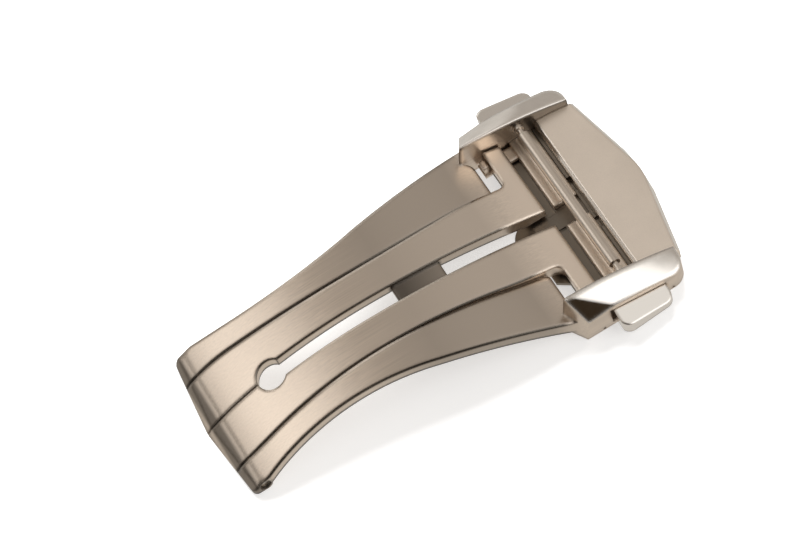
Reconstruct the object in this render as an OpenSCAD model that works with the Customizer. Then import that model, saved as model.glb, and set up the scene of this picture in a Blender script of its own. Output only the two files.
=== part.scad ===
// Single-fold deployant clasp for a leather strap, closed.
// X runs along the clasp from the hinge end to the head, Y across it, Z up on the outer side.
// Inside the modules X is measured from the hinge axis; at_origin() centres the clasp.
// "Near" is the -Y side and "far" is the +Y side.

/* [Strap and head] */
// Nominal width of the strap that the head takes
strap_w = 20; // [18:1:24]
// Room between the strap and the two cheeks together
strap_room = 0.2; // [0.1:0.05:0.4]
// Thickness of a cheek
cheek_t = 2.5; // [2.4:0.1:3.2]
// Hinge axis to the front corner of a cheek, at its inner face
cheek_x = 32.95; // [32.85:0.05:33.05]
// Length of a cheek
cheek_len = 12.0; // [11.8:0.1:12.8]
// Height of a cheek at its inner edge, near its front corner
cheek_h = 5.0; // [4.8:0.1:5.6]
// Radius of the cheek's top line, seen from the side
cheek_arc_r = 28; // [26:1:40]
// Outward slope of the cheek's polished top, in degrees
cheek_slope = 36; // [33:1:38]
// Angle in plan between the straight lines of the polished top and the clasp, in degrees
cheek_turn = 36; // [32:1:50]

/* [Arched blades] */
// Hinge axis to the top of the arch
arch_x = 16.2; // [15.5:0.1:17]
// Height of the arch above the rest plane
arch_z = 5.0; // [4.8:0.1:5.4]
// Arch radius between its top and the bend at the hinge end
arch_r = 42; // [40:1:46]
// Tighter radius at the hinge end
bend_r = 26; // [24:1:30]
// Hinge axis to the start of the tighter bend
bend_x = 4.8; // [4.2:0.1:5.4]
// Thickness of both blades at the hinge end and the arch top
blade_t = 1.2; // [1.1:0.05:1.3]
// Arch radius of the inner blade toward the head
inner_top_r = 70; // [66:1:76]
// Radius of the inner blade's underside toward the head
inner_under_r = 61; // [58:1:66]
// Arch radius of the outer blade toward the head
outer_top_r = 52; // [50:1:56]
// Radius of the outer blade's underside toward the head
outer_under_r = 44; // [42:1:48]

/* [Inner blade outline] */
// Half width of the inner blade at its waist
waist_half = 4.42; // [4.2:0.05:4.6]
// Half width of the inner blade at its ends
blade_end_half = 5.3; // [5.2:0.05:5.5]
// Radius of the waisted sides of the inner blade
waist_r = 116; // [110:2:124]
// Radius that eases the waisted sides into the straight ends
ease_r = 30; // [20:1:36]
// Gap between the inner blade and each arm of the outer blade
blade_gap = 0.15; // [0.12:0.01:0.2]
// Hinge axis to the back edge of the cross flange
flange_x = 35.07; // [34.9:0.01:35.2]
// Length of the cross flange along the clasp
flange_len = 1.87; // [1.7:0.01:2.1]
// Gap between each end of the cross flange and its cheek
flange_gap = 0.2; // [0.15:0.05:0.3]
// Underside of the cross flange above the rest plane
flange_z = 0.95; // [0.92:0.01:1.05]
// Fillet between the blade and the cross flange
flange_fillet = 0.8; // [0.5:0.1:1]

/* [Keyhole and slot] */
// Radius of the keyhole's round end
key_r = 1.54; // [1.4:0.02:1.7]
// Hinge axis to the keyhole's centre
key_x = 5.9; // [5.4:0.1:6.6]
// Width of the slot
slot_w = 1.96; // [1.9:0.02:2.1]
// Hinge axis to the bridge across the slot
bridge_x = 20; // [17:0.5:22]
// Length of the bridge
bridge_len = 5.3; // [4:0.1:6]
// Depth of the bridge below the blade's face
bridge_drop = 0.4; // [0.3:0.05:0.5]
// Width of the engraved centre line
line_w = 0.22; // [0.15:0.01:0.3]
// Depth of the engraved centre line
line_depth = 0.25; // [0.15:0.05:0.35]

/* [Outer blade outline] */
// Hinge axis to the waist of the outer blade
outer_waist_x = 10; // [9.4:0.2:10.6]
// Half width of the outer blade at its waist
outer_waist_half = 7.35; // [7.2:0.05:7.6]
// Radius of the waisted sides of the outer blade
outer_waist_r = 40; // [37:1:44]
// Hinge axis to where the waisted sides run on straight
outer_straight_x = 20.15; // [19.6:0.05:20.6]
// Hinge axis to the end of the arms beside the cross flange
arm_end_x = 33.6; // [33.4:0.05:33.7]
// Half width of the outer blade at the hinge end
outer_end_half = 8.45; // [8.3:0.05:8.7]

/* [Hinge] */
// Hinge axis to the point of the hinge end
tip_len = 2.2; // [2.1:0.05:2.3]
// Height of the hinge axis above the rest plane
hinge_z = 0.75; // [0.7:0.01:0.8]
// Radius of the hinge pin
hinge_pin_r = 0.4; // [0.35:0.01:0.42]
// Running clearance of the inner blade on its pin
hinge_play = 0.04; // [0.02:0.01:0.06]
// Radius of the sink round each end of the pin
sink_r = 0.58; // [0.5:0.02:0.62]
// Depth of the sink, and of the pin's end below the arm's side
pin_recess = 0.3; // [0.15:0.05:0.4]
// Angle of the shallow point at the hinge end, in degrees
point_angle = 5.8; // [4:0.2:8]
// Radius of the outer blade's corners at the hinge end
tip_round = 0.6; // [0.4:0.1:0.8]

/* [Spring bar] */
// Radius of the spring bar's tube
tube_r = 0.6; // [0.55:0.01:0.65]
// Radius of the tube's bore
tube_bore_r = 0.4; // [0.39:0.01:0.42]
// Hinge axis to the spring bar
bar_x = 39.3; // [39.1:0.05:39.5]
// Height of the spring bar
bar_z = 3.26; // [3.2:0.02:3.3]
// Gap between each end of the tube and its cheek
tube_gap = 1.35; // [1.2:0.05:1.5]
// Radius of the spring bar's tips
tip_r = 0.33; // [0.3:0.01:0.35]
// Radius of the collar on each tip
collar_r = 0.47; // [0.44:0.01:0.5]
// Length of a tip inside its cheek
tip_depth = 0.36; // [0.3:0.02:0.38]
// Clearance of a tip in its hole
tip_play = 0.04; // [0.02:0.01:0.05]
// Wire thickness of the spring in the tube
bar_wire = 0.12; // [0.1:0.01:0.14]

/* [Push buttons] */
// Hinge axis to the front end of a button
button_x = 36.7; // [36.6:0.05:36.8]
// Length of a button along the clasp
button_len = 5.7; // [5.6:0.05:5.8]
// How far a button stands out of its cheek
button_out = 2.1; // [1.7:0.1:2.4]
// Travel of a button
travel = 0.8; // [0.6:0.05:0.85]
// Length of a button's arm along the clasp
arm_len = 2.55; // [2.4:0.05:2.6]
// Hinge axis to the front edge of a button's arm
arm_x = 38.0; // [37.9:0.05:38.05]
// Thickness of a button's arm
arm_t = 0.65; // [0.6:0.01:0.7]
// Half of the gap between the two arms at rest
arm_gap_half = 1.25; // [1.2:0.05:1.4]
// Clearance round sliding parts
slide_play = 0.05; // [0.03:0.01:0.08]
// Width of the foot that reaches under the cross flange
foot_w = 1.6; // [1.5:0.05:1.7]
// Thickness of the foot
foot_t = 0.35; // [0.3:0.01:0.36]
// How far the hook reaches over the ear of the cross flange
hook_bite = 0.35; // [0.25:0.05:0.4]
// Radius of the plunger that bears on the button's spring
plunger_r = 0.38; // [0.34:0.01:0.4]
// Wire thickness of a button's spring
button_wire = 0.14; // [0.1:0.01:0.15]
// Radius of a stop pin
stop_r = 0.3; // [0.25:0.01:0.32]

/* [Base and cover] */
// Thickness of the base plate
base_t = 0.45; // [0.42:0.01:0.48]
// Radius of the base plate's rounded nose under the slot
nose_r = 1.87; // [1.6:0.01:2.2]
// Hinge axis to the centre of the base plate's nose
base_nose_x = 34.77; // [34.5:0.01:35]
// Depth of the two channels beside the cross flange
channel_depth = 0.25; // [0.15:0.01:0.28]
// Hinge axis to the cover's front wall
cover_x = 40.95; // [40.9:0.01:41]
// Height of the cover behind its front bevel
cover_z = 2.35; // [2.3:0.05:2.45]
// Width of the bright bevel along the cover's front edge
cover_bevel = 0.35; // [0.2:0.05:0.45]
// Radius of the cover's top, seen from the side
cover_r = 28; // [26:1:34]
// Length of the cover along the centre line
cover_len = 6.2; // [6:0.05:6.4]
// Radius of a locating pin
locating_r = 0.15; // [0.12:0.01:0.16]

/* [Hidden] */
$fn = 48;
// Segments of the large arcs
arc_fn = 360;
// Length and height that reach past every piece
far = 60;
// Overlap of a cutter past the face it starts from
over = 0.5;

cheek_in = (strap_w + strap_room) / 2;
cheek_out = cheek_in + cheek_t;
cheek_end = cheek_x + cheek_len;
nose_x = cover_x + cover_len;
hinge_x = (tip_len - nose_x) / 2;
flange_half = cheek_in - flange_gap;
flange_front = flange_x + flange_len;

steel = [0.72, 0.67, 0.60];
bright = [0.86, 0.83, 0.79];
dark = [0.45, 0.41, 0.37];

// Places X = 0 midway along the clasp
module at_origin() {
    translate([hinge_x, 0, 0]) children();
}

// Extrudes a side view, drawn in X and Z, from y0 to y1
module side(y0, y1) {
    translate([0, y1, 0]) rotate([90, 0, 0]) linear_extrude(y1 - y0) children();
}

// Extrudes a plan view from z0 to z1
module plan(z0, z1) {
    translate([0, 0, z0]) linear_extrude(z1 - z0) children();
}

// One copy on each side of the centre line
module both_sides() {
    for (s = [0, 1]) mirror([0, s, 0]) children();
}

// Side profile of the arch: tangent arcs that meet at the arch top and at the bend
arch_c = [arch_x, arch_z - arch_r];
function bend_centre(main_r, own_r) = let (d = (arch_x - bend_x) / main_r)
    arch_c + (main_r - own_r) * [-d, sqrt(1 - d * d)];
bend_c = bend_centre(arch_r, bend_r);
bend_in_c = bend_centre(arch_r - blade_t, bend_r - blade_t);

// A strip of the arch: its outer face, and its underside a blade's thickness below
module arch_strip(top_r, under_r) {
    // from the arch top to the head
    intersection() {
        difference() {
            translate([arch_x, arch_z - top_r]) circle(top_r, $fn = arc_fn);
            translate([arch_x, arch_z - blade_t - under_r]) circle(under_r, $fn = arc_fn);
        }
        translate([arch_x, 0]) square([far, far]);
    }
    // from the arch top to the bend
    intersection() {
        difference() {
            translate(arch_c) circle(arch_r, $fn = arc_fn);
            translate(arch_c) circle(arch_r - blade_t, $fn = arc_fn);
        }
        translate([bend_x, 0]) square([arch_x - bend_x, far]);
    }
    // from the bend to the hinge end
    intersection() {
        difference() {
            translate(bend_c) circle(bend_r, $fn = arc_fn);
            translate(bend_in_c) circle(bend_r - blade_t, $fn = arc_fn);
        }
        translate([-tip_len, 0]) square([tip_len + bend_x, far]);
    }
    // the round knuckle under the hinge end
    intersection() {
        translate(bend_c) circle(bend_r, $fn = arc_fn);
        union() {
            translate([-tip_len, 0]) square([tip_len, hinge_z]);
            translate([0, hinge_z]) circle(hinge_z);
        }
    }
}

// Everything beyond the shallow point at the hinge end, and the bevel over it
point_bevel_angle = 47;
point_bevel_rise = 3.7;
module point_cut() {
    both_sides() translate([-tip_len, 0, 0]) rotate([0, 0, -point_angle]) {
        translate([-far, -far, -far]) cube([far, 2 * far, 2 * far]);
        rotate([point_bevel_rise, 0, 0]) rotate([0, -point_bevel_angle, 0])
            translate([-far, -far, 0]) cube([2 * far, 2 * far, far]);
    }
}

// Reach of the waist along the clasp, with the arcs that ease it into the straight ends
waist_depth = blade_end_half - waist_half;
ease_reach = sqrt(waist_depth * (2 * (waist_r + ease_r) - waist_depth));
waist_reach = ease_reach * waist_r / (waist_r + ease_r);

// Plan of the inner blade without its flange, grown by a gap
module blade_plan(gap, end_x) {
    half = blade_end_half + gap;
    difference() {
        translate([-tip_len, -half]) square([tip_len + end_x, 2 * half]);
        for (s = [0, 1]) mirror([0, s]) {
            intersection() {
                translate([arch_x, waist_half + gap + waist_r]) circle(waist_r, $fn = arc_fn);
                translate([arch_x - waist_reach, 0]) square([2 * waist_reach, far]);
            }
            for (t = [0, 1]) translate([arch_x, 0]) mirror([t, 0]) difference() {
                translate([waist_reach, half - waist_depth])
                    square([ease_reach - waist_reach, waist_depth + over]);
                translate([ease_reach, half - ease_r]) circle(ease_r, $fn = arc_fn);
            }
        }
    }
}

// Square corner that fills the angle of two edges, less the round of a fillet
module fillet(r) {
    difference() {
        translate([-r, 0]) square(r);
        translate([-r, r]) circle(r);
    }
}

// Plan of the far arm of the outer blade: waisted, then straight to the cheek
arm_round = 1.2;
arm_corner = 0.45;
straight_dx = outer_straight_x - outer_waist_x;
straight_dy = sqrt(outer_waist_r * outer_waist_r - straight_dx * straight_dx);
straight_y = outer_waist_half + outer_waist_r - straight_dy;
// the straight edge leaves the arc of the waist at a slight angle
straight_turn = 2.2;
straight_back = 0.9;
straight_angle = asin(straight_dx / outer_waist_r) - straight_turn;
end_reach = 6;
tip_c = [(outer_end_half - tip_round) * tan(point_angle) + tip_round / cos(point_angle) - tip_len,
    outer_end_half - tip_round];
module arm_plan() {
    difference() {
        translate([-tip_len, 0]) square([tip_len + arm_end_x, cheek_out]);
        blade_plan(blade_gap, far);
        translate([outer_waist_x, outer_waist_half + outer_waist_r])
            circle(outer_waist_r, $fn = arc_fn);
        translate([outer_straight_x, straight_y]) rotate(straight_angle)
            translate([-straight_back, 0]) square([far, far]);
        translate([-tip_len - over, outer_end_half]) square([tip_len + end_reach, far]);
        translate(tip_c) difference() {
            translate([-tip_len - over, tip_round * sin(point_angle)]) square([tip_len + over, far]);
            circle(tip_round);
        }
        translate([arm_end_x - arm_round, cheek_in - arm_round]) difference() {
            square(arm_round);
            circle(arm_round);
        }
        translate([arm_end_x - arm_corner, blade_end_half + blade_gap]) difference() {
            square(arm_corner);
            translate([0, arm_corner]) circle(arm_corner);
        }
    }
}

// Half space behind three points, which cuts a plane facet
module cut_plane(a, b, c) {
    n = cross(b - a, c - a);
    translate(a) rotate([0, acos(n[2] / norm(n)), atan2(n[1], n[0])])
        translate([-far, -far, 0]) cube([2 * far, 2 * far, far]);
}

// Space under a cylinder whose straight lines run outward and down.
// Cut by a plane along the clasp, it shows an arc of cheek_arc_r with its top at apex.
module sloped_top(apex, slope, turn) {
    run = [1 / tan(turn), 1, -tan(slope)];
    u = run / norm(run);
    r = cheek_arc_r * (1 - u[0] * u[0]) / cos(slope);
    translate(apex - r * [0, sin(slope), cos(slope)]) rotate([0, acos(u[2]), atan2(u[1], u[0])])
        cylinder(h = 2 * far, r = r, center = true, $fn = arc_fn);
}

// Far cheek
cheek_corner = 1.7;
cheek_back = 0.6;
cheek_apex = [cheek_x - 0.65, cheek_in, cheek_h];
function outer_edge_z(x) = let (d = x - cheek_apex[0] - cheek_t / tan(cheek_turn))
    cheek_h - cheek_t * tan(cheek_slope) - d * d / (2 * cheek_arc_r);
corner_bevel = 0.4;
wall_low = [cheek_x + 0.5, cheek_out, 0];
wall_rake = 1.05;
wall_high = [cheek_x + wall_rake, cheek_out, outer_edge_z(cheek_x + wall_rake) - corner_bevel];
wall_in = [cheek_x, cheek_in, cheek_h - 0.4];
facet_in = [cheek_x + 0.35, cheek_in, cheek_h];
facet_len = 3.95;
facet_out = [cheek_x + facet_len, cheek_out, outer_edge_z(cheek_x + facet_len)];
front_round = 0.5;
module cheek() {
    difference() {
        intersection() {
            plan(0, cheek_h + over) difference() {
                translate([cheek_x - cheek_back, cheek_in]) square([cheek_len + cheek_back, cheek_t]);
                translate([cheek_end - cheek_corner, cheek_out - cheek_corner]) difference() {
                    square(cheek_corner + over);
                    circle(cheek_corner);
                }
            }
            sloped_top(cheek_apex, cheek_slope, cheek_turn);
        }
        cut_plane(wall_low, wall_in, wall_high);
        cut_plane(facet_in, facet_out, wall_high);
        side(cheek_in - over, cheek_out + over) translate([cheek_x, cheek_h - front_round])
            difference() {
                translate([-far, 0]) square([far + front_round, front_round + over]);
                translate([front_round, 0]) circle(front_round);
            }
    }
}

// Pocket of a button and the openings of its arm, plunger and pins, in the far cheek
button_in = cheek_out - 0.1;
button_bottom = 0.55;
button_top = 2.55;
button_tilt = 8.5;
button_end = button_x + button_len;
pocket_front = 0.35;
pocket_play = 0.08;
spring_x = button_end - 0.5;
spring_z = 1.0;
spring_bore_r = plunger_r + 0.07;
locating_z = 0.25;
locating_x = [flange_x + 0.3, cover_x + 2.15];
// length of a locating pin inside the cheek's inner face, and its depth below the outer face
locating_in = 1.3;
locating_recess = 0.15;
arm_z = base_t + slide_play;

// Side view of a button, or of its pocket with play on top
module button_side(x0, x1, bottom, play) {
    polygon([[x0, bottom], [x1, bottom],
        [x1, button_top + play - (x1 - button_x) * tan(button_tilt)],
        [x0, button_top + play - (x0 - button_x) * tan(button_tilt)]]);
}

module cheek_openings() {
    side(button_in - travel - slide_play, far) button_side(button_x - pocket_front,
        button_end + pocket_play, button_bottom - pocket_play, pocket_play);
    translate([arm_x - slide_play, cheek_in - over, base_t])
        cube([arm_len + 2 * slide_play, far, arm_t + 2 * slide_play]);
    translate([spring_x, cheek_in - over, spring_z]) rotate([-90, 0, 0])
        cylinder(h = far, r = spring_bore_r);
    translate([bar_x, cheek_in - over, bar_z]) rotate([-90, 0, 0])
        cylinder(h = over + tip_depth + tip_play, r = tip_r + tip_play);
    for (x = locating_x) translate([x, cheek_in - over, locating_z]) rotate([-90, 0, 0])
        cylinder(h = far, r = locating_r);
}

module outer_blade() {
    difference() {
        union() {
            intersection() {
                side(0, cheek_out) arch_strip(outer_top_r, outer_under_r);
                plan(0, far) arm_plan();
            }
            cheek();
        }
        point_cut();
        cheek_openings();
        translate([0, 0, hinge_z]) rotate([-90, 0, 0]) {
            cylinder(h = far, r = hinge_pin_r);
            translate([0, 0, outer_end_half - pin_recess]) cylinder(h = far, r = sink_r);
        }
    }
}

module outer_blade_far() {
    color(steel) at_origin() outer_blade();
}

module outer_blade_near() {
    color(steel) at_origin() mirror([0, 1, 0]) outer_blade();
}

module both_sides_2d() {
    for (s = [0, 1]) mirror([0, s]) children();
}

// Inner blade
ear_w = 0.7;
ear_h = 0.4;
ear_len = 0.6;
module inner_plan() {
    blade_plan(0, flange_front);
    translate([flange_x, -flange_half]) square([flange_len, 2 * flange_half]);
    both_sides_2d() translate([flange_x, blade_end_half]) fillet(flange_fillet);
}

module inner_blade() {
    color(steel) at_origin() difference() {
        union() {
            intersection() {
                side(-cheek_in, cheek_in) difference() {
                    arch_strip(inner_top_r, inner_under_r);
                    translate([arm_end_x, 0]) square([far, flange_z]);
                }
                plan(0, far) inner_plan();
            }
            both_sides() translate([flange_x - ear_len, flange_half - ear_w, flange_z])
                cube([ear_len + over, ear_w, ear_h]);
        }
        point_cut();
        // keyhole, slot and bridge
        plan(-over, far) {
            translate([key_x, 0]) circle(key_r);
            translate([key_x, -slot_w / 2]) square([bridge_x - key_x, slot_w]);
            translate([bridge_x + bridge_len, -slot_w / 2]) square([far, slot_w]);
        }
        intersection() {
            side(-slot_w / 2, slot_w / 2) difference() {
                translate([bridge_x - over, 0]) square([bridge_len + 2 * over, far]);
                translate([arch_x, arch_z - inner_top_r])
                    circle(inner_top_r - bridge_drop, $fn = arc_fn);
            }
            translate([bridge_x - over, -far, 0]) cube([bridge_len + 2 * over, 2 * far, far]);
        }
        // engraved centre line from the keyhole to the point
        side(-line_w / 2, line_w / 2) difference() {
            translate([-tip_len - over, 0]) square([tip_len + key_x + over, far]);
            translate(bend_c) circle(bend_r - line_depth, $fn = arc_fn);
        }
        translate([0, 0, hinge_z]) rotate([90, 0, 0])
            cylinder(h = far, r = hinge_pin_r + hinge_play, center = true);
    }
}

module hinge_pin() {
    color(bright) at_origin() translate([0, 0, hinge_z]) rotate([90, 0, 0])
        cylinder(h = 2 * (outer_end_half - pin_recess), r = hinge_pin_r, center = true);
}

// Base plate under the flange and the arms, with its tongue and the shelf in front of the cover
shelf_x = arm_x + arm_len + slide_play;
shelf_top = arm_z + arm_t;
tongue = 1.1;
tongue_half = 5.74;
tongue_side = 0.83;
nose_slope = 10;
island_half = 0.9;
recess_half = 1.9;
notch_w = 1.4;
stop_x = arm_x + arm_len / 2;
stop_y = 5;
stop_h = 0.3;
recess_depth = 0.4;
edge_gap = 0.1;
module base_plate() {
    color(dark) at_origin() difference() {
        union() {
            plan(0, base_t) {
                translate([flange_x, -cheek_in]) square([cover_x - flange_x, 2 * cheek_in]);
                polygon([[flange_x - tongue, -tongue_half], [flange_x, -tongue_half - tongue_side],
                    [flange_x, tongue_half + tongue_side], [flange_x - tongue, tongue_half]]);
                translate([base_nose_x, 0]) circle(nose_r);
            }
            translate([shelf_x, -cheek_in, 0]) cube([cover_x - shelf_x, 2 * cheek_in, shelf_top]);
        }
        // the nose slopes down, as wide as its circle
        translate([flange_x + edge_gap, -nose_r, base_t]) rotate([0, -nose_slope, 0])
            translate([-far, 0, 0]) cube([far, 2 * nose_r, far]);
        translate([shelf_x - over, -recess_half, shelf_top - recess_depth])
            cube([cover_x - shelf_x + 2 * over, 2 * recess_half, far]);
        both_sides() {
            translate([flange_front + edge_gap, island_half, base_t - channel_depth])
                cube([arm_x - flange_front - 1.5 * edge_gap, far, far]);
            translate([shelf_x - over, recess_half, base_t])
                cube([cover_x - shelf_x + 2 * over, notch_w, far]);
            translate([stop_x, stop_y, -over]) cylinder(h = far, r = stop_r);
            translate([locating_x[0], cheek_in - locating_in, locating_z]) rotate([-90, 0, 0])
                cylinder(h = far, r = locating_r);
        }
    }
}

// Cover block behind the spring bar, with a bare top
nose_half = 2.8;
nose_round = 0.15;
cover_side = nose_x - 1.7;
cover_back = [nose_x - nose_round, nose_half];
cover_apex_x = cover_x - 2.45;
cover_apex_z = cover_z + 0.14;
back_bevel = 0.3;
spring_bore_depth = 4.6;
spring_bore_y = cheek_in - spring_bore_depth;
module cover_block() {
    color(steel) at_origin() difference() {
        intersection() {
            plan(0, far) polygon([[cover_x, -cheek_in], [cover_side, -cheek_in],
                [cover_back[0], -nose_half], [nose_x, 0], cover_back,
                [cover_side, cheek_in], [cover_x, cheek_in]]);
            translate([cover_apex_x, 0, cover_apex_z - cover_r]) rotate([90, 0, 0])
                cylinder(h = far, r = cover_r, center = true, $fn = arc_fn);
        }
        // front bevel
        side(-cheek_in - over, cheek_in + over) translate([cover_x, cover_z - cover_bevel])
            polygon([[-over, -over], [cover_bevel + over, cover_bevel + over],
                [-over, cover_bevel + over]]);
        both_sides() {
            // bevel along the slanted back edge
            cut_plane([cover_side - back_bevel, cheek_in, back_z(cover_side - back_bevel)],
                [cover_back[0] - back_bevel, nose_half, back_z(nose_x - back_bevel)],
                [cover_back[0], nose_half, back_z(nose_x) - back_bevel]);
            translate([spring_x, spring_bore_y, spring_z]) rotate([-90, 0, 0])
                cylinder(h = far, r = spring_bore_r);
            translate([locating_x[1], cheek_in - locating_in, locating_z]) rotate([-90, 0, 0])
                cylinder(h = far, r = locating_r);
        }
    }
}
function back_z(x) = cover_apex_z - cover_r + sqrt(cover_r * cover_r - pow(x - cover_apex_x, 2));

module locating_pins() {
    color(bright) at_origin() both_sides() for (x = locating_x)
        translate([x, cheek_in - locating_in, locating_z]) rotate([-90, 0, 0])
            cylinder(h = cheek_t + locating_in - locating_recess, r = locating_r);
}

module stop_pins() {
    color(bright) at_origin() both_sides() translate([stop_x, stop_y, 0])
        cylinder(h = arm_z + stop_h, r = stop_r);
}

// Push button on the far side: cap, arm, plunger, foot and hook
cap_round = 1.0;
cap_fall = 14;
cap_taper = 4;
cap_end = (button_len + cap_round * sin(cap_taper)) / cos(cap_taper) - cap_round;
foot_x = flange_x - ear_len - 0.25;
foot_y = flange_half - foot_w;
hook_set = [0.1, 0.2, 0];
hook_len = 0.55;
hook_stem = 0.6;
hook_top = 1.9;
lip_z = flange_z + ear_h + 0.07;
groove_x = 0.85;
groove_w = 0.1;
plunger_in = cheek_in - 0.9;
module button_cap() {
    y1 = cheek_out + button_out;
    intersection() {
        plan(0, far) intersection() {
            translate([button_x, button_in]) square([button_len, far]);
            // outer face, which comes in a little toward the back, with round ends
            translate([button_x, y1]) rotate(-cap_taper) difference() {
                translate([-far, -far]) square([2 * far, far]);
                for (s = [0, 1]) translate([s ? cap_end : cap_round, -cap_round]) mirror([s, 0])
                    difference() {
                        translate([-cap_round - over, 0]) square(cap_round + over);
                        circle(cap_round);
                    }
            }
        }
        side(button_in, y1) button_side(button_x, button_end, button_bottom, 0);
        translate([button_x, cheek_out, button_top]) rotate([-cap_fall, 0, 0])
            rotate([0, button_tilt, 0]) translate([-far, -far, -far]) cube([2 * far, 2 * far, far]);
    }
}

module push_button() {
    difference() {
        union() {
            button_cap();
            translate([arm_x, arm_gap_half, arm_z])
                cube([arm_len, button_in + over - arm_gap_half, arm_t]);
            translate([spring_x, plunger_in, spring_z]) rotate([-90, 0, 0])
                cylinder(h = button_in + over - plunger_in, r = plunger_r);
            translate([foot_x, foot_y, arm_z]) cube([arm_x + over - foot_x, foot_w, foot_t]);
            translate([foot_x, foot_y, arm_z] + hook_set) {
                cube([hook_len, hook_stem, hook_top - arm_z]);
                translate([0, 0, lip_z - arm_z])
                    cube([hook_len, foot_w - hook_set[1] - ear_w + hook_bite, hook_top - lip_z]);
            }
        }
        // groove along the arm
        translate([arm_x + groove_x, 0, arm_z + arm_t - groove_w]) cube([groove_w, cheek_in, over]);
        // blind slot for the stop pin
        stop_slot(stop_y, stop_y + travel);
    }
}

// Slot with round ends across the clasp, under a button's arm
module stop_slot(y0, y1) {
    r = stop_r + slide_play;
    translate([stop_x, 0, arm_z - over]) {
        for (y = [y0, y1]) translate([0, y, 0]) cylinder(h = over + stop_h + 0.05, r = r);
        translate([-r, y0, 0]) cube([2 * r, y1 - y0, over + stop_h + 0.05]);
    }
}

module push_button_far() {
    color(bright) at_origin() push_button();
}

module push_button_near() {
    color(bright) at_origin() mirror([0, 1, 0]) push_button();
}

// A helical wire of radius w/2 on a coil of radius r, along +Y, as one closed surface
function coil_centre(r, pitch, a) = [r * cos(a), pitch * a / 360, r * sin(a)];
function coil_ring(r, pitch, a, w, sides) = [for (k = [0:sides - 1])
    let (b = 360 * k / sides)
    coil_centre(r + w / 2 * cos(b), pitch, a) + [0, w / 2 * sin(b), 0]];
coil_sides = 6;
coil_rings = 10;
module coil(r, w, length, turns) {
    n = turns * coil_rings;
    pitch = (length - w) / turns;
    points = [for (i = [0:n]) each coil_ring(r, pitch, 360 * i / coil_rings, w, coil_sides)];
    walls = [for (i = [0:n - 1], k = [0:coil_sides - 1])
        let (m = (k + 1) % coil_sides, p = i * coil_sides, q = p + coil_sides)
        each [[p + k, p + m, q + m], [p + k, q + m, q + k]]];
    start = [for (k = [1:coil_sides - 2]) [0, k + 1, k]];
    end = [for (k = [1:coil_sides - 2])
        let (p = n * coil_sides) [p, p + k, p + k + 1]];
    translate([0, w / 2, 0]) polyhedron(points, concat(walls, start, end));
}

button_coils = 4;
module button_spring() {
    length = plunger_in - spring_bore_y - 0.1;
    translate([spring_x, spring_bore_y + 0.05, spring_z])
        coil(spring_bore_r - 0.06 - button_wire / 2, button_wire, length, button_coils);
}

module button_spring_far() {
    color(dark) at_origin() button_spring();
}

module button_spring_near() {
    color(dark) at_origin() mirror([0, 1, 0]) button_spring();
}

// Spring bar
tube_half = cheek_in - tube_gap;
tip_inside = 2.6;
collar_out = 0.25;
collar_len = 0.4;
module spring_bar_tube() {
    color(bright) at_origin() translate([bar_x, 0, bar_z]) rotate([90, 0, 0]) difference() {
        cylinder(h = 2 * tube_half, r = tube_r, center = true);
        cylinder(h = far, r = tube_bore_r, center = true);
    }
}

module spring_bar_tip() {
    translate([bar_x, 0, bar_z]) rotate([-90, 0, 0]) {
        translate([0, 0, tube_half - tip_inside])
            cylinder(h = tip_inside + tube_gap + tip_depth, r = tip_r);
        translate([0, 0, cheek_in - collar_out - collar_len]) cylinder(h = collar_len, r = collar_r);
    }
}

module spring_bar_tip_far() {
    color(bright) at_origin() spring_bar_tip();
}

module spring_bar_tip_near() {
    color(bright) at_origin() mirror([0, 1, 0]) spring_bar_tip();
}

bar_coils = 14;
module spring_bar_spring() {
    half = tube_half - tip_inside - 0.05;
    color(dark) at_origin() translate([bar_x, -half, bar_z])
        coil(tube_bore_r - 0.04 - bar_wire / 2, bar_wire, 2 * half, bar_coils);
}

outer_blade_near();
outer_blade_far();
inner_blade();
hinge_pin();
base_plate();
cover_block();
locating_pins();
stop_pins();
push_button_near();
push_button_far();
button_spring_near();
button_spring_far();
spring_bar_tube();
spring_bar_tip_near();
spring_bar_tip_far();
spring_bar_spring();
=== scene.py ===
import math

import bpy
from mathutils import Matrix, Vector

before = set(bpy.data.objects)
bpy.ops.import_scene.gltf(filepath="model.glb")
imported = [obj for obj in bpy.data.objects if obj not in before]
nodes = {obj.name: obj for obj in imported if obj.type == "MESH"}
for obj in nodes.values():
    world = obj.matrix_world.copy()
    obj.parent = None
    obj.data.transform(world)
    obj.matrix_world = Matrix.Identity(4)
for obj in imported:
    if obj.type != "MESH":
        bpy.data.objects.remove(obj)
scene = bpy.context.scene
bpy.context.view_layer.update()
MM = 0.001


def tint(colour, factor):
    """A colour made deeper, or paler where the factor is over 1."""
    return (colour[0] * factor, colour[1] * factor, colour[2] * factor, 1)


def even(scale):
    """The same scale along X, Y and Z."""
    return (scale, scale, scale)


# Photographed colours of the warm steel
STEEL = (0.80, 0.69, 0.58, 1)
DARK_STEEL = (0.66, 0.57, 0.47, 1)
# The cover's steel is paler than the rest, partly painted light standing in for the brightness it
# shows
COVER_STEEL_AND_LIGHT = (0.94, 0.84, 0.73, 1)
BAR_STEEL = (0.68, 0.60, 0.515, 1)
PIN_STEEL = (0.86, 0.80, 0.72, 1)
POLISH = (0.88, 0.83, 0.77, 1)

# Radii that the edges are shown with, in millimetres
BLADE_EDGE = 0.6
ARM_EDGE = 0.7
BUTTON_EDGE = 0.4
COVER_EDGE = 0.32
BASE_EDGE = 0.12
TURNED_EDGE = 0.05

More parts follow.
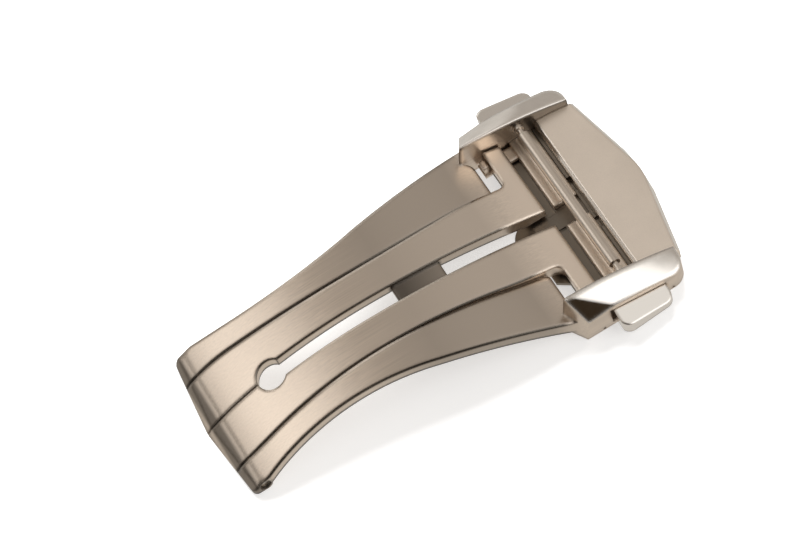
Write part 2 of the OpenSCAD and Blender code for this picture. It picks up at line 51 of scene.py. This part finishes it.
# Noises: scale along X, Y and Z per metre, detail, and offset
STREAKS = ((60, 9000, 9000), 3.0, 0.0)
BANDS = ((30, 5000, 5000), 2.0, 7.0)
CLOUDS = (even(90), 2.0, 3.0)
POLISH_SMEAR = (even(700), 2.0, 11.0)
BEADING = (even(9000), 2.0, 0.0)
BEADING_CLOUDS = (even(260), 3.0, 5.0)
WEAR = (even(900), 3.0, 2.0)
TURNING = (even(2500), 2.0, 0.0)
PAPER_FIBRE = (even(60), 3.0, 0.0)
# Parts of a noise's range that turn into roughness, and into colour
ROUGH_SPAN = (0.35, 0.65)
COLOUR_SPAN = (0.36, 0.64)
SMEAR_SPAN = (0.3, 0.7)
# Depth of all grain, the strength that each finish shows it at, and its middle height
GRAIN_DEPTH = 0.00001
BRUSHED_GRAIN, SATIN_GRAIN, TURNED_GRAIN = 0.16, 0.05, 0.06
FLAT = 0.5
# Share of the streaks beside the bands, of both beside the clouds, and of the beading
STREAK_SHARE, LINE_SHARE, BEADING_SHARE = 0.6, 0.8, 0.5
# How much the colour of each finish varies
BRUSHED_VARY, SATIN_VARY, BRIGHT_VARY = 0.12, 0.04, 0.03
# Roughness of brushed steel, and of its polished parts
BRUSHED_ROUGH = (0.30, 0.38)
POLISH_ROUGH = (0.09, 0.15)
# Roughness of the satin pieces' polished parts, and how much paler than POLISH they are
FACET_ROUGH = 0.18
FACET_TONE = 1.04
# How far the brushing stretches reflections
BRUSHED_ANISOTROPY = 0.55
# Painted shade on the blades' edges, standing in for the dark surround they reflect: roughness,
# weight of the painted shade, and the share of the steel's colour that the painted shade has
NEAR_EDGE_SHADE = (0.2, 0.92, 0.1)
FAR_EDGE_SHADE = (0.16, 0.4, 0.45)

# Stretches along X where a mask rises or falls, in order from the hinge end to the head
HINGE_BEVEL = (-24.25 * MM, -24.0 * MM)
HINGE_END = (-23.3 * MM, -22.6 * MM)
ARM_FALL_START = (-9.5 * MM, -2 * MM)
BRIDGE_START = (-2.6 * MM, -2.4 * MM)
BRIDGE_FADE = (-1.5 * MM, 3.2 * MM)
BRIDGE_END = (2.9 * MM, 3.0 * MM)
ARM_FALL_END = (8.5 * MM, 11.5 * MM)
EDGES_END = (9.5 * MM, 10.5 * MM)
CHEEK_START = (9.9 * MM, 10.1 * MM)
FLANGE_START = (10.8 * MM, 13.4 * MM)
WALL_RISE = (13.4 * MM, 17 * MM)
# The same across the clasp, from its middle plane outward
BRIDGE_SIDE = (0.93 * MM, 0.99 * MM)
CAP_START = (12.5 * MM, 12.6 * MM)
# Stretches of a normal's component where a mask rises or falls
UPWARD = (0.25, 0.4)
SIDEWAYS = (0.1, 0.14)
INWARD = (-0.8, -0.6)
LENGTHWISE = (0.4, 0.55)
TOWARD_NEAR = (-0.08, -0.45)
TOWARD_FAR = (0.15, 0.35)
# Cosine between the rounded and the flat normal, from flat faces to rounded edges
ROUNDED = (0.998, 0.92)
# Masks' levels on the bevel before the hinge and at the far end of the bridge
BEVEL_LEVEL = 0.2
BRIDGE_END_LEVEL = 0.55


class Nodes:
    """Adds linked shader nodes to a material or to the world."""

    def __init__(self, owner):
        owner.use_nodes = True
        self.owner = owner
        self.tree = owner.node_tree
        self.bsdf = self.tree.nodes.get("Principled BSDF")

    def add(self, kind, inputs=None, **props):
        """A new node. An input is a value or another node's output."""
        node = self.tree.nodes.new(kind)
        for key, value in props.items():
            setattr(node, key, value)
        for key, value in (inputs or {}).items():
            self.put(node.inputs[key], value)
        return node

    def put(self, socket, value):
        """Links an output to a socket, or sets the socket to a value."""
        if isinstance(value, bpy.types.NodeSocket):
            self.tree.links.new(value, socket)
        else:
            socket.default_value = value

    def math(self, operation, a, b=0.0):
        return self.add("ShaderNodeMath", {0: a, 1: b}, operation=operation).outputs[0]

    def times(self, a, b):
        return self.math("MULTIPLY", a, b)

    def blend(self, a, share, b):
        """a at its share, plus b at the rest."""
        return self.math("ADD", self.times(a, share), self.times(b, 1 - share))

    def mix(self, factor, a, b):
        """a where the factor is 0, b where it is 1."""
        return self.add("ShaderNodeMix", {0: factor, 2: a, 3: b}, data_type="FLOAT").outputs[0]

    def mix_colour(self, factor, a, b):
        """Colour a where the factor is 0, b where it is 1."""
        return self.add("ShaderNodeMix", {0: factor, 6: a, 7: b}, data_type="RGBA").outputs[2]

    def dot(self, a, b):
        node = self.add("ShaderNodeVectorMath", {0: a, 1: b}, operation="DOT_PRODUCT")
        return node.outputs["Value"]

    def split(self, vector):
        """X, Y and Z of a vector."""
        return self.add("ShaderNodeSeparateXYZ", {0: vector}).outputs

    def place(self):
        """The point in the part's frame, as it is at rest."""
        return self.add("ShaderNodeTexCoord").outputs["Object"]

    def flat_normal(self):
        """The surface's own normal, without grain or rounded edges."""
        return self.add("ShaderNodeNewGeometry").outputs["Normal"]

    def span(self, value, stretch, to):
        """Turns a stretch of values into another one, and holds its ends beyond it."""
        inputs = {0: value, 1: stretch[0], 2: stretch[1], 3: to[0], 4: to[1]}
        return self.add("ShaderNodeMapRange", inputs).outputs[0]

    def rise(self, value, stretch):
        """0 before the stretch, 1 after it."""
        return self.span(value, stretch, (0.0, 1.0))

    def fall(self, value, stretch):
        """1 before the stretch, 0 after it."""
        return self.span(value, stretch, (1.0, 0.0))

    def noise(self, scale, detail, offset):
        """Noise fixed to the part."""
        inputs = {"Vector": self.place(), "Scale": scale, "Location": even(offset)}
        at = self.add("ShaderNodeMapping", inputs).outputs[0]
        inputs = {"Vector": at, "Scale": 1.0, "Detail": detail, "Roughness": 0.6}
        return self.add("ShaderNodeTexNoise", inputs).outputs["Fac"]

    def ramp(self, value, low, high, stretch=SMEAR_SPAN):
        """Turns a stretch of values into colours from low to high."""
        node = self.add("ShaderNodeValToRGB", {0: value})
        first, last = node.color_ramp.elements
        first.position, first.color = stretch[0], low
        last.position, last.color = stretch[1], high
        return node.outputs[0]

    def vary(self, value, colour, share, stretch=SMEAR_SPAN):
        """The colour, made deeper and paler by a share of itself as the value changes."""
        return self.ramp(value, tint(colour, 1 - share), tint(colour, 1 + share), stretch)

    def rounded(self, edge):
        """Normal with the edges rounded to a radius in millimetres."""
        return self.add("ShaderNodeBevel", {"Radius": edge * MM}, samples=8).outputs[0]

    def edge_shade_masks(self, normal):
        """1 on the blades' edges toward the near side, and the same toward the far side: where
        painted shade stands in for the dark surround that the edges reflect.
        """
        across = self.split(normal)[1]
        turned = self.rise(self.dot(normal, self.flat_normal()), ROUNDED)
        turned = self.times(turned, self.fall(self.split(self.place())[0], EDGES_END))
        near = self.times(turned, self.rise(across, TOWARD_NEAR))
        far = self.times(turned, self.rise(across, TOWARD_FAR))
        return near, far

    def bump(self, height, strength, normal):
        """Relief of the grain over a normal."""
        inputs = {"Height": height, "Strength": strength, "Distance": GRAIN_DEPTH, "Normal": normal}
        return self.add("ShaderNodeBump", inputs).outputs[0]

    def metal(self, colour, rough, normal):
        """The finished material."""
        self.put(self.bsdf.inputs["Base Color"], colour)
        self.put(self.bsdf.inputs["Roughness"], rough)
        self.put(self.bsdf.inputs["Normal"], normal)
        self.bsdf.inputs["Metallic"].default_value = 1.0
        return self.owner


def brushed(name, colour, edge, painted_shading, polish=None):
    """Steel brushed along X, with painted shade and painted light from the masks in the fourth
    argument, and painted shade on its edges; polish turns a part of it into polished steel."""
    m = Nodes(bpy.data.materials.new(name))
    lines = m.blend(m.noise(*STREAKS), STREAK_SHARE, m.noise(*BANDS))
    shade = m.blend(lines, LINE_SHARE, m.noise(*CLOUDS))
    tone = m.vary(shade, colour, BRUSHED_VARY, COLOUR_SPAN)
    rough = m.span(lines, ROUGH_SPAN, BRUSHED_ROUGH)
    height = lines
    # Painted shade and painted light on parts of the steel
    for mask, factor in painted_shading:
        tone = m.mix_colour(mask(m), tone, tint(colour, factor))
    if polish is not None:
        mask = polish(m)
        smear = m.noise(*POLISH_SMEAR)
        tone = m.mix_colour(mask, tone, m.vary(smear, POLISH, BRIGHT_VARY))
        rough = m.mix(mask, rough, m.span(smear, SMEAR_SPAN, POLISH_ROUGH))
        height = m.mix(mask, lines, FLAT)
    normal = m.rounded(edge)
    near, far = m.edge_shade_masks(normal)
    # Painted shade on the edges, deepest on those toward the near side
    for mask, (edge_rough, weight, factor) in ((near, NEAR_EDGE_SHADE), (far, FAR_EDGE_SHADE)):
        tone = m.mix_colour(m.times(mask, weight), tone, tint(colour, factor))
        rough = m.mix(mask, rough, edge_rough)
    across = m.add("ShaderNodeCombineXYZ", {0: 0.0, 1: 1.0, 2: 0.0}).outputs[0]
    m.put(m.bsdf.inputs["Tangent"], across)
    m.bsdf.inputs["Anisotropic"].default_value = BRUSHED_ANISOTROPY
    return m.metal(tone, rough, m.bump(height, BRUSHED_GRAIN, normal))


def satin(name, colour, rough, edge, polish=None):
    """Fine bead-blasted steel with a soft grain the same in all directions."""
    m = Nodes(bpy.data.materials.new(name))
    grain = m.noise(*BEADING)
    both = m.blend(grain, BEADING_SHARE, m.noise(*BEADING_CLOUDS))
    tone = m.vary(both, colour, SATIN_VARY, COLOUR_SPAN)
    rough = m.span(both, ROUGH_SPAN, rough)
    height = grain
    if polish is not None:
        mask = polish(m)
        tone = m.mix_colour(mask, tone, tint(POLISH, FACET_TONE))
        rough = m.mix(mask, rough, FACET_ROUGH)
        height = m.mix(mask, grain, FLAT)
    return m.metal(tone, rough, m.bump(height, SATIN_GRAIN, m.rounded(edge)))


def turned(name, colour, rough):
    """Bright turned or drawn steel with faint wear."""
    m = Nodes(bpy.data.materials.new(name))
    wear = m.noise(*WEAR)
    normal = m.bump(m.noise(*TURNING), TURNED_GRAIN, m.rounded(TURNED_EDGE))
    return m.metal(m.vary(wear, colour, BRIGHT_VARY), m.span(wear, SMEAR_SPAN, rough), normal)


def cheek_mask(m):
    """1 on the cheek's sloping top and its facets, 0 on the arm and on upright walls."""
    normal = m.split(m.flat_normal())
    head = m.rise(m.split(m.place())[0], CHEEK_START)
    sloping = m.rise(m.math("ABSOLUTE", normal[1]), SIDEWAYS)
    return m.times(m.times(head, m.rise(normal[2], UPWARD)), sloping)


def wall_shade_mask(m):
    """Rises toward the head on the cheeks' walls that face each other: painted shade deep in the
    head.
    """
    at = m.split(m.place())
    outward = m.times(m.split(m.flat_normal())[1], m.math("SIGN", at[1]))
    return m.times(m.fall(outward, INWARD), m.rise(at[0], WALL_RISE))


def cap_mask(m):
    """1 on the button's cap, 0 on its arm in the head."""
    return m.rise(m.math("ABSOLUTE", m.split(m.place())[1]), CAP_START)


def cover_mask(m):
    """1 on the cover's front bevel and back bevels."""
    return m.rise(m.math("ABSOLUTE", m.split(m.flat_normal())[0]), LENGTHWISE)


def hinge_shade_mask(m):
    """1 on the rounded end over the hinge, less on the bevel before it: painted shade for the dark
    surround those faces reflect.
    """
    x = m.split(m.place())[0]
    return m.times(m.span(x, HINGE_BEVEL, (BEVEL_LEVEL, 1.0)), m.fall(x, HINGE_END))


def arm_shade_mask(m):
    """1 on the length where the real clasp's arms fall away outward, 0 at both ends; painted shade
    there stands in for the darker surround that their slope reflects.
    """
    x = m.split(m.place())[0]
    return m.times(m.rise(x, ARM_FALL_START), m.fall(x, ARM_FALL_END))


def bridge_shade_mask(m):
    """1 at the start of the recessed bridge across the slot, less toward its end: painted shade in
    the recess.
    """
    at = m.split(m.place())
    side = m.fall(m.math("ABSOLUTE", at[1]), BRIDGE_SIDE)
    fade = m.span(at[0], BRIDGE_FADE, (1.0, BRIDGE_END_LEVEL))
    return m.times(
        m.times(side, m.rise(at[0], BRIDGE_START)), m.times(fade, m.fall(at[0], BRIDGE_END))
    )


def flange_light_mask(m):
    """1 on the cross flange, fading into the blade: painted light, a paler tone for the brighter
    surround it reflects.
    """
    return m.rise(m.split(m.place())[0], FLANGE_START)


# Painted shade and painted light: each mask with the share of the steel's colour it paints (under 1
# shade, over 1 light)
BLADE_PAINTED_SHADING = (
    (arm_shade_mask, 0.76), (bridge_shade_mask, 0.19), (flange_light_mask, 1.12), (hinge_shade_mask, 0.38),
)
ARM_PAINTED_SHADING = ((arm_shade_mask, 0.62), (hinge_shade_mask, 0.38), (wall_shade_mask, 0.28))

blade = brushed("steel-brushed-blade", STEEL, BLADE_EDGE, BLADE_PAINTED_SHADING)
arm = brushed("steel-brushed-arm", STEEL, ARM_EDGE, ARM_PAINTED_SHADING, polish=cheek_mask)
# The base plate's colour is painted deep, as painted shade in the valley under the flange and cover
base = satin("steel-base", tint(DARK_STEEL, 0.36), (0.30, 0.36), BASE_EDGE)
cover = satin("steel-satin-cover", COVER_STEEL_AND_LIGHT, (0.34, 0.42), COVER_EDGE, polish=cover_mask)
button = satin("steel-button", tint(STEEL, 1.08), (0.32, 0.38), BUTTON_EDGE, polish=cap_mask)
bar = turned("steel-spring-bar", BAR_STEEL, (0.34, 0.42))
pin = turned("steel-pin", PIN_STEEL, (0.12, 0.2))
wire = turned("spring-wire", tint(DARK_STEEL, 0.8), (0.25, 0.35))

LOOK = {
    "outer_blade_near": arm,
    "outer_blade_far": arm,
    "inner_blade": blade,
    "hinge_pin": pin,
    "base_plate": base,
    "cover_block": cover,
    "locating_pins": pin,
    "stop_pins": pin,
    "push_button_near": button,
    "push_button_far": button,
    "button_spring_near": wire,
    "button_spring_far": wire,
    "spring_bar_tube": bar,
    "spring_bar_tip_near": bar,
    "spring_bar_tip_far": bar,
    "spring_bar_spring": wire,
}
for name, obj in nodes.items():
    obj.data.materials.clear()
    obj.data.materials.append(LOOK[name])

# Floor just under the clasp: white to the camera, with the clasp's shadow, and grey in the steel
FLOOR_HALF = 1.5
FLOOR_GAP = 0.00002
PAPER_LOW, PAPER_HIGH = (0.78, 0.78, 0.78, 1), (0.80, 0.80, 0.80, 1)
PAPER_ROUGH, PAPER_GLOSS = 0.9, 0.1
FLOOR_GLOW, FLOOR_GLOW_SEEN = 0.2, 0.52
FLOOR_IN_STEEL = (0.60, 0.58, 0.55, 1)

floor_mesh = bpy.data.meshes.new("floor")
corners = [
    (-FLOOR_HALF, -FLOOR_HALF, 0),
    (FLOOR_HALF, -FLOOR_HALF, 0),
    (FLOOR_HALF, FLOOR_HALF, 0),
    (-FLOOR_HALF, FLOOR_HALF, 0),
]
floor_mesh.from_pydata(corners, [], [(0, 1, 2, 3)])
floor = bpy.data.objects.new("floor", floor_mesh)
scene.collection.objects.link(floor)
floor.location.z = -FLOOR_GAP
paper = Nodes(bpy.data.materials.new("floor-white"))
fibre = paper.noise(*PAPER_FIBRE)
paper.put(paper.bsdf.inputs["Base Color"], paper.ramp(fibre, PAPER_LOW, PAPER_HIGH))
paper.bsdf.inputs["Roughness"].default_value = PAPER_ROUGH
paper.bsdf.inputs["Specular IOR Level"].default_value = PAPER_GLOSS
paper.bsdf.inputs["Emission Color"].default_value = (1, 1, 1, 1)
ray = paper.add("ShaderNodeLightPath").outputs
glow = paper.mix(ray["Is Camera Ray"], FLOOR_GLOW, FLOOR_GLOW_SEEN)
paper.put(paper.bsdf.inputs["Emission Strength"], glow)
in_steel = paper.add("ShaderNodeEmission", {"Color": FLOOR_IN_STEEL}).outputs[0]
inputs = {0: ray["Is Glossy Ray"], 1: paper.bsdf.outputs[0], 2: in_steel}
either = paper.add("ShaderNodeMixShader", inputs).outputs[0]
paper.put(paper.tree.nodes["Material Output"].inputs["Surface"], either)
floor.data.materials.append(paper.owner)

# Studio: a warm grey room, with panels laid one over the other. Each panel has its direction,
# the degrees from there up to which it is full and at which it is gone, and its colour.
ROOM = (0.42, 0.39, 0.36, 1)
SHADE = (0.07, 0.065, 0.06, 1)
PANELS = (
    ((-0.38, -0.80, 0.42), 26, 54, SHADE),  # dark near side of the room, toward the hinge end
    ((-0.80, 0.50, 0.36), 10, 18, SHADE),  # dark patch past the hinge end
    ((-0.86, 0.50, 0.03), 6, 12, (0.80, 0.77, 0.73, 1)),  # low strip below that patch
    ((0.40, 0.03, 0.91), 10, 20, (0.80, 0.79, 0.77, 1)),  # overhead
    ((0.05, 0.98, 0.15), 8, 16, (1.1, 1.09, 1.07, 1)),  # low on the far side
    ((0.44, 0.51, 0.74), 6, 22, (0.61, 0.575, 0.54, 1)),  # high on the far side, over the head
    ((0.55, -0.58, 0.58), 20, 31, (1.5, 1.5, 1.5, 1)),  # large pale one at the near side's head end
    ((-0.03, -0.84, 0.53), 11, 20, (0.035, 0.024, 0.014, 1)),  # dark flag on the near side
)

sky = Nodes(bpy.data.worlds.new("studio"))
scene.world = sky.owner
sky.tree.nodes.clear()
sky_at = sky.add("ShaderNodeTexCoord").outputs["Generated"]


def toward(direction, full, gone):
    """1 in a direction of the surround, fading to 0 away from it."""
    cosine = sky.dot(sky_at, Vector(direction).normalized())
    inputs = {0: cosine, 1: math.cos(math.radians(gone)), 2: math.cos(math.radians(full))}
    return sky.add("ShaderNodeMapRange", inputs, interpolation_type="SMOOTHSTEP").outputs[0]


room = ROOM
for direction, full, gone, colour in PANELS:
    room = sky.mix_colour(toward(direction, full, gone), room, colour)
background = sky.add("ShaderNodeBackground", {"Color": room}).outputs[0]
sky.add("ShaderNodeOutputWorld", {"Surface": background})

LAMP_AIM = Vector((0, 0, 0.002))
LAMP_DISTANCE = 0.6


def soft_box(name, direction, size, power, lights):
    """An area lamp that lights only the floor or only shows in the steel."""
    lamp = bpy.data.lights.new(name, "AREA")
    lamp.shape = "RECTANGLE"
    lamp.size, lamp.size_y = size
    lamp.energy = power
    holder = bpy.data.objects.new(name, lamp)
    scene.collection.objects.link(holder)
    away = Vector(direction).normalized()
    holder.location = LAMP_AIM + away * LAMP_DISTANCE
    holder.rotation_euler = (-away).to_track_quat("-Z", "Y").to_euler()
    holder.visible_glossy = lights == "steel"
    holder.visible_diffuse = lights == "floor"


soft_box("window", (0.18, 0.74, 0.65), (0.40, 0.34), 6.2, "floor")
soft_box("left", (-0.499, 0.505, 0.706), (0.38, 0.38), 0.42, "steel")

# Camera at the photograph's viewing angle: where it stands, and its axes in the part's frame
CAMERA_AT = Vector((-29.5604, -167.7694, 293.7825)) * MM
CAMERA_RIGHT = Vector((0.854233, -0.480960, -0.197392))
CAMERA_DOWN = Vector((-0.512720, -0.716528, -0.472976))
CAMERA_AHEAD = Vector((0.086046, 0.505238, -0.858679))

camera = bpy.data.cameras.new("camera")
camera.sensor_width = 36
camera.lens = 157.5
camera.clip_start, camera.clip_end = 0.01, 10
cam = bpy.data.objects.new("camera", camera)
scene.collection.objects.link(cam)
turn = Matrix((CAMERA_RIGHT, -CAMERA_DOWN, -CAMERA_AHEAD)).transposed()
cam.matrix_world = Matrix.Translation(CAMERA_AT) @ turn.to_4x4()
scene.camera = cam
scene.view_settings.view_transform = "Standard"
